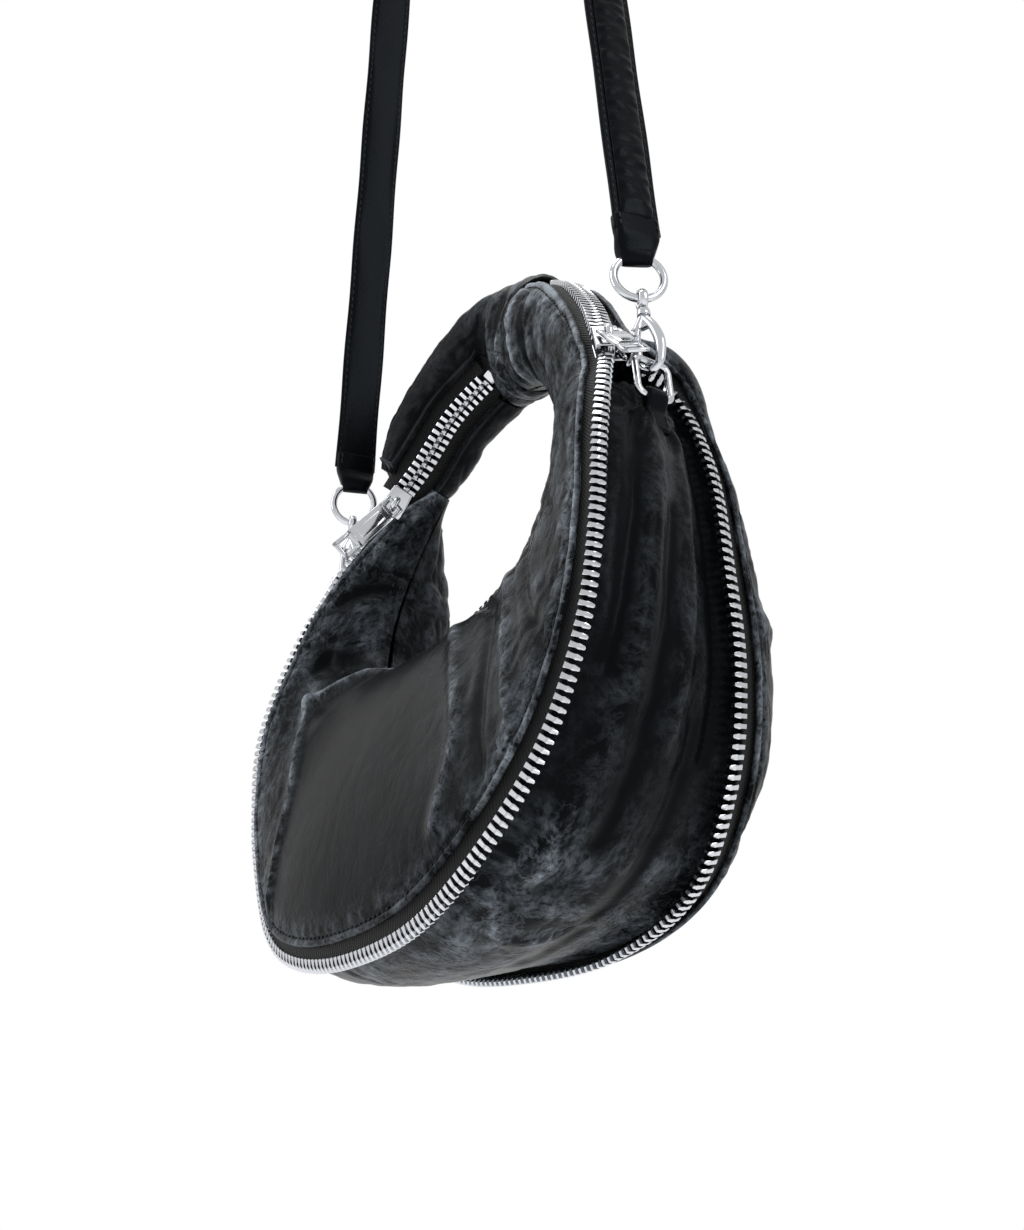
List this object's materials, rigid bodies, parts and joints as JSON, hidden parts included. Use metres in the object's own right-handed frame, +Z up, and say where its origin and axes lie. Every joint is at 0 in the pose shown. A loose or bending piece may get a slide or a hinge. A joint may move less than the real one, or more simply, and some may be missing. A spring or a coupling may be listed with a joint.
{
  "type": "shoulder bag",
  "caption": "Small ring-shaped leather shoulder bag with a hand hole, an open zip round an expansion gusset, hooked end rings and a long padded strap.",
  "frame": {"origin": "top of the strap's loop, on its inner face, midway between its two runs: where a shoulder or a peg holds it up", "axes": "+X along the bag from its left end to its right end as seen from the front, +Y towards its back, +Z up along the hanging strap"},
  "size_m": [0.2507, 0.1036, 0.7046],
  "materials": {
    "leather": "black crinkled leather, half gloss",
    "strap_leather": "black leather, smooth",
    "twill": "black ribbed zip tape",
    "lining": "dark woven lining",
    "padding": "soft padding",
    "zip_metal": "polished metal teeth",
    "hardware": "polished steel"
  },
  "bodies": {
    "strap": {"strap": "strap_leather", "strap_pad": "strap_leather", "left_strap_tab": "strap_leather", "right_strap_tab": "strap_leather"},
    "bag": {"front_panel": "leather", "back_panel": "leather", "front_lining": "lining", "back_lining": "lining", "inner_pocket": "lining", "handle_sleeve": "leather", "handle_core": "padding", "front_teeth": "zip_metal", "back_teeth": "zip_metal", "front_tape": "twill", "back_tape": "twill", "right_chain": "zip_metal", "left_chain": "zip_metal", "left_stop": "zip_metal", "right_stop": "zip_metal", "sleeve_front_tape": "twill", "sleeve_back_tape": "twill", "gusset": "leather", "left_loop": "leather", "right_loop": "leather"},
    "left_ring": {"left_ring": "hardware", "left_eye": "hardware"},
    "left_hook": {"left_hook": "hardware", "left_gate_pin": "hardware"},
    "left_gate": {"left_gate": "hardware"},
    "left_link": {"left_link": "hardware"},
    "left_slider": {"left_slider": "hardware"},
    "left_puller": {"left_puller": "hardware"},
    "right_ring": {"right_ring": "hardware", "right_eye": "hardware"},
    "right_hook": {"right_hook": "hardware", "right_gate_pin": "hardware"},
    "right_gate": {"right_gate": "hardware"},
    "right_link": {"right_link": "hardware"},
    "right_slider": {"right_slider": "hardware"},
    "right_puller": {"right_puller": "hardware"}
  },
  "joints": [
    {"name": "right_ring_swing", "type": "hinge", "parent": "strap", "child": "right_ring", "pos_m": [0.11465, -0.00363, -0.46637], "axis": [0.9985, -0.0345, 0.0422], "range_deg": [-10, 10]},
    {"name": "left_ring_swing", "type": "hinge", "parent": "strap", "child": "left_ring", "pos_m": [-0.09549, 0.00363, -0.47525], "axis": [0.9985, -0.0345, 0.0422], "range_deg": [-10, 10]},
    {"name": "right_hook_swivel", "type": "hinge", "parent": "right_ring", "child": "right_hook", "pos_m": [0.11718, -0.00363, -0.48404], "axis": [-0.1416, 0, 0.9899], "range_deg": [-15, 15]},
    {"name": "right_gate_spring", "type": "hinge", "parent": "right_hook", "child": "right_gate", "pos_m": [0.11511, -0.00498, -0.49545], "axis": [0.3416, -0.9386, 0.0489], "range_deg": [0, 24], "stiffness_Nm_per_rad": 0.01, "springref_deg": -11.46},
    {"name": "left_hook_swivel", "type": "hinge", "parent": "left_ring", "child": "left_hook", "pos_m": [-0.09718, 0.00363, -0.49302], "axis": [0.0945, 0, 0.9955], "range_deg": [-15, 15]},
    {"name": "left_gate_spring", "type": "hinge", "parent": "left_hook", "child": "left_gate", "pos_m": [-0.10187, 0.00229, -0.50363], "axis": [0.3418, -0.9392, -0.0324], "range_deg": [0, 24], "stiffness_Nm_per_rad": 0.01, "springref_deg": -11.46},
    {"name": "bag_swing", "type": "hinge", "parent": "right_ring", "child": "bag", "pos_m": [0.12076, -0.00363, -0.50908], "axis": [0.9986, -0.0329, 0.0414], "range_deg": [-3, 15]},
    {"name": "right_link_hinge", "type": "hinge", "parent": "bag", "child": "right_link", "pos_m": [0.12266, -0.00363, -0.52235], "axis": [-0.0684, 0.9976, -0.0098], "range_deg": [-1.5, 1.5]},
    {"name": "right_slider_run", "type": "slide", "parent": "bag", "child": "right_slider", "axis": [-0.5759, 0.1929, 0.7944], "range_m": [0, 0.003]},
    {"name": "right_puller_hinge", "type": "hinge", "parent": "right_slider", "child": "right_puller", "pos_m": [0.11084, -0.0132, -0.49566], "axis": [-0.3981, -0.9038, -0.1569], "range_deg": [0, 45]},
    {"name": "left_link_hinge", "type": "hinge", "parent": "bag", "child": "left_link", "pos_m": [-0.10083, 0.00363, -0.53155], "axis": [-0.0691, 0.9976, 0.0066], "range_deg": [-1.5, 1.5]},
    {"name": "left_slider_run", "type": "slide", "parent": "bag", "child": "left_slider", "axis": [0.5361, 0.2664, 0.801], "range_m": [0, 0.003]},
    {"name": "left_puller_hinge", "type": "hinge", "parent": "left_slider", "child": "left_puller", "pos_m": [-0.05969, 0.00327, -0.49652], "axis": [-0.1773, -0.6972, 0.6946], "range_deg": [0, 45]}
  ],
  "couplings": [
    {"joint": "left_ring_swing", "follows": "right_ring_swing", "ratio": 1}
  ]
}
